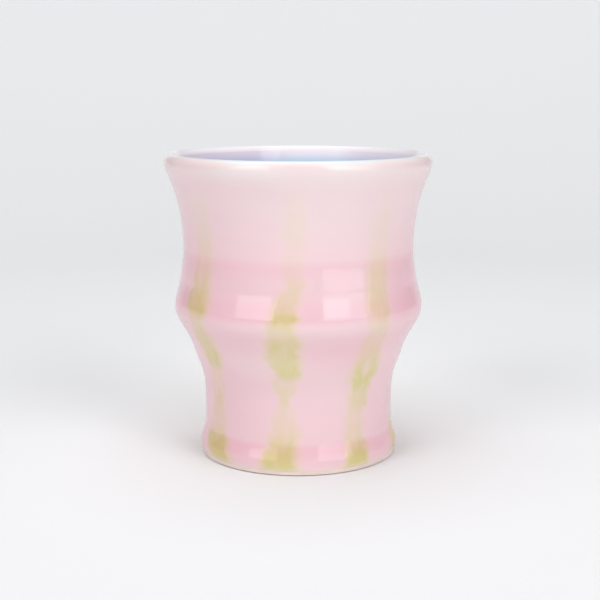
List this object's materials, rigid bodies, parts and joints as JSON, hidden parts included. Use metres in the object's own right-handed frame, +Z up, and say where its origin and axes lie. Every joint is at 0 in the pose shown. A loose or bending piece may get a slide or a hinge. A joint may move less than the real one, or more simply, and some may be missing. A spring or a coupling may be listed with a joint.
{
  "type": "sipper cup",
  "caption": "Handle-less porcelain sipper cup with a flared lip, concave neck, rounded belt and tapered waist, glazed pink outside with green runs and blue inside.",
  "frame": {"origin": "middle of the plane that the foot ring stands on", "axes": "+Z up along the axis of the turned body, -Y towards the viewer of the picture"},
  "size_m": [0.0792, 0.0792, 0.09],
  "materials": {
    "bare_porcelain": "bare fired porcelain, cream, matt, sanded smooth at the foot ring",
    "pink_glaze": "glossy translucent pink glaze, paler where it thins at the lip and under the belt",
    "blue_glaze": "glossy pale blue liner glaze, thinning to lavender white at the lip",
    "green_glaze": "glossy yellow-green glaze run, soft at its edges and pooled at the foot, cone and belt"
  },
  "bodies": {
    "root": {"porcelain_body": "bare_porcelain", "outer_glaze": "pink_glaze", "liner_glaze": "blue_glaze", "green_run_1": "green_glaze", "green_run_2": "green_glaze", "green_run_3": "green_glaze", "green_run_4": "green_glaze", "green_run_5": "green_glaze", "green_run_6": "green_glaze", "green_run_7": "green_glaze", "green_run_8": "green_glaze"}
  },
  "joints": []
}
